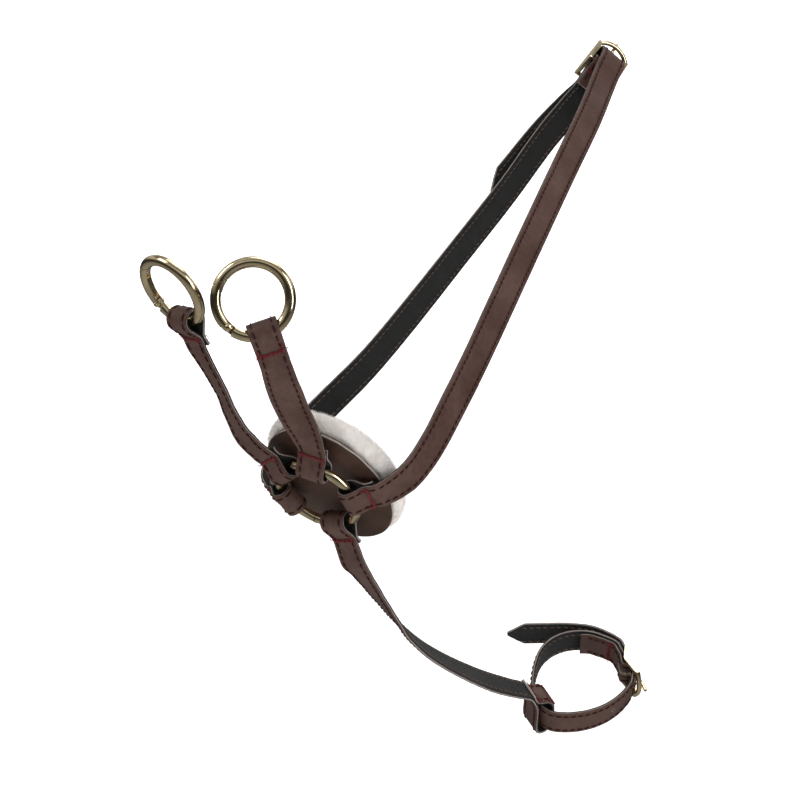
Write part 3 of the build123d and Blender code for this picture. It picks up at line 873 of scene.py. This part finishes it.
routes = {}
for index, (name, (sections, body, windows, start, end)) in enumerate(straps.items()):
    route = routes[name] = Route(sections)
    face = ribbon(f"{name}_face", route, lining_t + layer_gap, strap_t, face_bulge, face_dips,
                  [brown, greige], windows, face_rough, index * seed_step)
    place(face, body, "brown_leather", f"{name}_leather")
    back = ribbon(f"{name}_back", route, 0, lining_t, 0, (0, 0), [black, black_edge],
                  windows, lining_rough, index * seed_step)
    place(back, body, "black_webbing", f"{name}_lining")
    seam = Threads(index + 11)
    seam.rows(route, 1.5, route.length - last_stitch[end], **face_stitch)
    place(seam.object(f"{name}_seam", burgundy), body, "brown_leather")
    under = Threads(index + 31)
    under.rows(route, *lining_shows(route, start, end), **lining_stitch)
    place(under.object(f"{name}_seam_back", tan_thread), body, "black_webbing")
    tacks = Threads(index + 51)
    for section, beyond, back_way in start_tacks[start] + end_tacks[end]:
        tacks.bar_tack(route, route.marks[section] + beyond, back_way, tack_surface, tack_rise)
    place(tacks.object(f"{name}_tacks", tack_red), body, "brown_leather")


# ---- shield and fleece --------------------------------------------------------------
def oval_form(name, rx, ry, thick, near, rounding, crown, wobble, materials, rim_slot,
              seed, rings=26, around=128):
    """Closed oval pad in the chest ring's plane: front face, rounded rim and back."""
    profile = []              # (share of the radius, depth behind the front, slot)
    flat = 1 - rounding / rx
    for k in range(rings):
        share = flat * k / (rings - 1)
        profile.append((share, -crown * (1 - share * share), 0))
    corners = 8
    for k in range(1, corners + 1):
        a = pi * k / corners
        profile.append((flat + (1 - flat) * sin(a), thick / 2 * (1 - cos(a)),
                        rim_slot if k in (3, 4) else 0))
    for k in range(1, rings):
        share = flat * (1 - k / (rings - 1))
        profile.append((share, thick + crown * 0.6 * (1 - share * share), 0))
    verts, uvs = [], []
    for share, depth, _ in profile:
        for j in range(around):
            a = 2 * pi * j / around
            x, y = rx * share * cos(a), ry * share * sin(a)
            d = wobble * noise.fractal(Vector((x, y, depth + seed)) * 0.11, 1.0, 2.0, 4)
            p = chest.at(pad_shift[0] + x, pad_shift[1] + y, -near - depth)
            push = chest.at(0, 0, 1 if depth < thick / 2 else -1)
            verts.append(p + push * d * (0.4 + 0.6 * share))
            uvs.append((x, y))
    slots = [slot for _, _, slot in profile[1:] for _ in range(around)]
    faces = ring_faces(len(profile), around, flip=True)
    return mesh_object(name, verts, faces, materials, slots, uvs)


shield = oval_form("shield", shield_rx, shield_ry, shield_t, shield_gap, 0.9, 0.25, 0.25,
                   [shield_brown, greige], 1, 3.0)
place(shield, "root", "brown_leather", "pad_shield")

fleece = oval_form("fleece_pad", fleece_rx, fleece_ry, fleece_t,
                   shield_gap + shield_t + 0.1, 7.0, 0.0, 1.0, [fleece_pile], 0, 9.0)
place(fleece, "root", "fleece", "pad_fleece")


def fibres(name, base, count, length, material, seed):
    """Short curved pile fibres standing on a mesh."""
    dice = random.Random(seed)
    mesh = base.data
    polygons = list(mesh.polygons)
    weights = [p.area for p in polygons]
    verts, faces, uvs = [], [], []
    for polygon in dice.choices(polygons, weights, k=count):
        corners = [mesh.vertices[v].co / MM for v in polygon.vertices]
        u, v = dice.random(), dice.random()
        root = (corners[0] * (1 - u) + corners[1] * u) * (1 - v) \
            + (corners[3] * (1 - u) + corners[2] * u) * v
        normal = polygon.normal
        lean = Vector([noise.noise(root * 0.16 + Vector((k * 9.0, 0, 0))) for k in range(3)])
        lean += Vector([dice.uniform(-0.5, 0.5) for _ in range(3)])
        lean = (lean - normal * lean.dot(normal)) * 1.1
        side = normal.cross(lean).normalized() * 0.05
        reach = length * dice.uniform(0.6, 1.15)
        start = len(verts)
        for k, width in ((0, 1.0), (0.5, 0.8), (0.85, 0.5)):
            p = root + normal * (reach * k * 0.8) + lean * (reach * k * k)
            verts += [p - side * width, p + side * width]
        verts.append(root + normal * reach * 0.75 + lean * reach)
        uvs += [(0, 0), (1, 0), (0, 0.5), (1, 0.5), (0, 0.85), (1, 0.85), (0.5, 1)]
        faces += [(start, start + 1, start + 3, start + 2),
                  (start + 2, start + 3, start + 5, start + 4),
                  (start + 4, start + 5, start + 6)]
    return mesh_object(name, verts, faces, [material], None, uvs)


place(fibres("fleece_fibres", fleece, 26000, 1.1, fleece_pile, 5), "root", "fleece")

# ---- hardware -----------------------------------------------------------------------
for name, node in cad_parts.items():
    if node.hide_render:
        continue
    metal_here = steel if name.endswith("_spring") else gold
    node.data.materials.clear()
    node.data.materials.append(metal_here)


def band(name, middle, plane_matrix, radius, wire, width, material):
    """Thin sleeve on a bent wire, for the seam of a closed ring."""
    verts, uvs = [], []
    around = 40
    steps = [(-width / 2, 0.0), (-width / 2, 0.10), (-width / 2 + 0.1, 0.14),
             (width / 2 - 0.1, 0.14), (width / 2, 0.10), (width / 2, 0.0)]
    for along, lift in steps:
        a = radians(middle) + along / radius
        for j in range(around):
            t = 2 * pi * j / around
            r = radius + (wire + lift) * cos(t)
            verts.append(plane_matrix @ Vector((r * cos(a), r * sin(a), (wire + lift) * sin(t))))
            uvs.append((j / around, along))
    return mesh_object(name, verts, ring_faces(len(steps), around), [material], None, uvs)


seam_band = band("chest_ring_seam", ring_seam, chest.matrix(), ring_r, ring_wire_r, 1.6, gold)
place(seam_band, "root", "pale_gold")
seam_line = band("chest_ring_seam_line", ring_seam - 1.8, chest.matrix(), ring_r,
                 ring_wire_r + 0.03, 0.4, punched)
place(seam_line, "root", "pale_gold")


def dome(name, centre, normal, radius, height, material, body, slot):
    """Rivet head: a low dome on a short rim."""
    verts, uvs = [], []
    around = 28
    side = normal.orthogonal().normalized()
    up = normal.cross(side)
    steps = [(1.0, 0.0), (1.0, 0.35), (0.94, 0.55), (0.75, 0.82), (0.45, 0.96), (0.12, 1.0)]
    for share, h in steps:
        for j in range(around):
            a = 2 * pi * j / around
            verts.append(centre + (side * cos(a) + up * sin(a)) * (radius * share)
                         + normal * (height * h))
            uvs.append((share * cos(a), share * sin(a)))
    faces = ring_faces(len(steps), around)
    faces.append(tuple((len(steps) - 1) * around + j for j in range(around)))
    return place(mesh_object(name, verts, faces, [material], None, uvs), body, slot)



def on_circle(plane, radius, angle, z=0.0):
    a = radians(angle)
    return plane.at(radius * cos(a), radius * sin(a), z)


snap_planes = {"right": right_ring, "left": left_ring}
for side, plane in snap_planes.items():
    for face, sign in (("front", 1), ("back", -1)):
        at = on_circle(plane, snap_r, gate_hinge, sign * 2.12)
        dome(f"snap_rivet_{side}_{face}", at, plane.z * sign, 0.95, 0.42, gold,
             f"snap_ring_{side}", "pale_gold")



def plate(name, centre, u_half, v_half, half_thick, material, body, slot):
    """Thin oval plate; its two half axes are vectors."""
    normal = u_half.cross(v_half).normalized() * half_thick
    around = 32
    verts = []
    for lift in (normal, normal * -1):
        for j in range(around):
            a = 2 * pi * j / around
            verts.append(centre + u_half * cos(a) + v_half * sin(a) + lift)
    faces = [tuple(range(around)), tuple(reversed(range(around, 2 * around)))]
    for j in range(around):
        k = (j + 1) % around
        faces.append((j, around + j, around + k, k))
    return place(mesh_object(name, verts, faces, [material]), body, slot)


# The gate's slanting parting face shows a dark latch plate between its two cut ends.
for side, plane in snap_planes.items():
    inner = on_circle(plane, snap_r - snap_wire_r, gate_tip_in)
    outer = on_circle(plane, snap_r + snap_wire_r, gate_tip_out)
    plate(f"snap_latch_{side}", (inner + outer) / 2, (outer - inner) * 0.44,
          plane.z * (snap_wire_r * 0.88), 0.12, steel, f"gate_{side}", "spring_steel")

# One punched hole shows in the front band of the girth collar, its rim a little paler. The hole
# is not cut: a flat dark disc on the leather paints the shade of its depth over the black lining,
# ringed by the pale cut edge.
band_route = routes["girth_collar"]
punch_near = in_collar(13.5, -17)
punch = min(range(len(band_route.places)),
            key=lambda i: (band_route.places[i] - punch_near).length)
for name, radius, lift, material in (("rim", 0.95, 0.05, greige), ("hole", 0.7, 0.07, punched)):
    plate(f"girth_punched_{name}", band_route.at(punch * band_route.step, 0, strap_t + lift),
          band_route.halves[punch].normalized() * radius, band_route.ways[punch] * radius,
          0.03, material, "girth_collar", "brown_leather")

# ---- set: floor, backdrop, lights and camera ----------------------------------------
def flat_material(name, colour, glow):
    n = Nodes(name, Roughness=0.9, Emission_Strength=glow)
    return n.finish(Base_Color=colour, Emission_Color=colour)


low, high = cad_box
middle = (Vector(low) + Vector(high)) / 2
floor_z = low[2] - 0.09      # clear of the girth collar when the belly strap swings down
room = 3.2                # radius of the floor and backdrop, in metres


def disc(name, z, radius, material):
    around = 96
    verts = [Vector((radius * cos(2 * pi * j / around), radius * sin(2 * pi * j / around), 0))
             for j in range(around)]
    o = mesh_object(name, [(v + Vector((0, 0, z))) / MM for v in verts],
                    [tuple(range(around))], [material], smooth=False)
    o.visible_glossy = False
    return o


def floor_material():
    """Pale floor that glows with painted light, dim near the object and brightening into the
    backdrop with distance from it.
    """
    n = Nodes("floor_pale", Roughness=0.9, Emission_Strength=1.0)
    where = n.add("TexCoord").outputs["Object"]
    reach = n.add("VectorMath", {"operation": "LENGTH"}, **{"0": where}).outputs["Value"]
    # Painted light: the floor's glow rises from dim near the object to near white far from it.
    glow = n.ramp(n.grey(reach, 0.0, 1.0, 0.0, room),
                  [(0.08, (0.34, 0.34, 0.34)), (0.42, (0.93, 0.93, 0.93))])
    base = n.ramp(n.noise(where, 12, 2.0), [(0.3, (0.86, 0.86, 0.85)), (0.7, (0.9, 0.9, 0.9))])
    return n.finish(Base_Color=base, Emission_Color=glow)


disc("floor", floor_z, room, floor_material())


def backdrop():
    verts = []
    around, tiers = 96, 14
    for i in range(tiers + 1):
        a = (pi / 2) * i / tiers
        for j in range(around):
            t = 2 * pi * j / around
            verts.append(Vector((room * cos(a) * cos(t), room * cos(a) * sin(t),
                                 floor_z + room * sin(a))) / MM)
    o = mesh_object("backdrop", verts, ring_faces(tiers + 1, around),
                    [flat_material("backdrop_white", rgba(0.95, 0.95, 0.95), 1.0)])
    o.visible_glossy = o.visible_diffuse = o.visible_shadow = False


backdrop()

world = bpy.data.worlds.new("studio")
bpy.context.scene.world = world
world.use_nodes = True
tree = world.node_tree
coord = tree.nodes.new("ShaderNodeTexCoord")
split = tree.nodes.new("ShaderNodeSeparateXYZ")
ramp = tree.nodes.new("ShaderNodeValToRGB")
height = tree.nodes.new("ShaderNodeMapRange")
height.inputs["From Min"].default_value = -1.0
tree.links.new(coord.outputs["Generated"], split.inputs[0])
tree.links.new(split.outputs["Z"], height.inputs[0])
tree.links.new(height.outputs[0], ramp.inputs[0])
stops = [(0.0, 0.55), (0.30, 0.30), (0.44, 0.05), (0.58, 0.06), (0.70, 0.75), (0.78, 0.95),
         (0.86, 0.20), (1.0, 0.9)]
while len(ramp.color_ramp.elements) < len(stops):
    ramp.color_ramp.elements.new(0.5)
for element, (at, value) in zip(ramp.color_ramp.elements, stops):
    element.position = at
    element.color = (value, value * 0.99, value * 0.97, 1)
background = tree.nodes["Background"]
tree.links.new(ramp.outputs[0], background.inputs[0])
background.inputs[1].default_value = 0.55


def area_light(name, at, size, power, tint=(1, 1, 1)):
    data = bpy.data.lights.new(name, "AREA")
    data.shape, data.size, data.size_y = "RECTANGLE", size[0], size[1]
    data.energy, data.color = power, tint
    o = bpy.data.objects.new(name, data)
    o.location = at
    o.rotation_euler = (Vector(at) - middle).to_track_quat("Z", "Y").to_euler()
    bpy.context.scene.collection.objects.link(o)


area_light("key", middle + Vector((-0.55, -0.75, 0.85)), (0.5, 0.5), 3.4, (1.0, 0.98, 0.95))
area_light("fill", middle + Vector((1.05, -0.25, 0.35)), (0.3, 0.9), 4.2, (0.97, 0.98, 1.0))
area_light("top", middle + Vector((0.1, 0.25, 1.1)), (0.7, 0.7), 4.6)
area_light("back", middle + Vector((-0.3, 0.9, 0.45)), (0.6, 0.5), 2.2)

camera_right, camera_up = Vector((0.839, 0.545, 0.0)), Vector((-0.0475, 0.0731, 0.996))
camera_back = Vector((0.5426, -0.8355, 0.0872))
camera_data = bpy.data.cameras.new("camera")
camera_data.lens, camera_data.sensor_width = 109.05, 36.0
camera_data.clip_start = 0.01
camera = bpy.data.objects.new("camera", camera_data)
pose = Matrix((camera_right, camera_up, camera_back)).transposed().to_4x4()
pose.translation = (0.5676, -0.8150, 0.1286)
camera.matrix_world = pose
bpy.context.scene.collection.objects.link(camera)
bpy.context.scene.camera = camera
bpy.context.scene.view_settings.view_transform = "Standard"
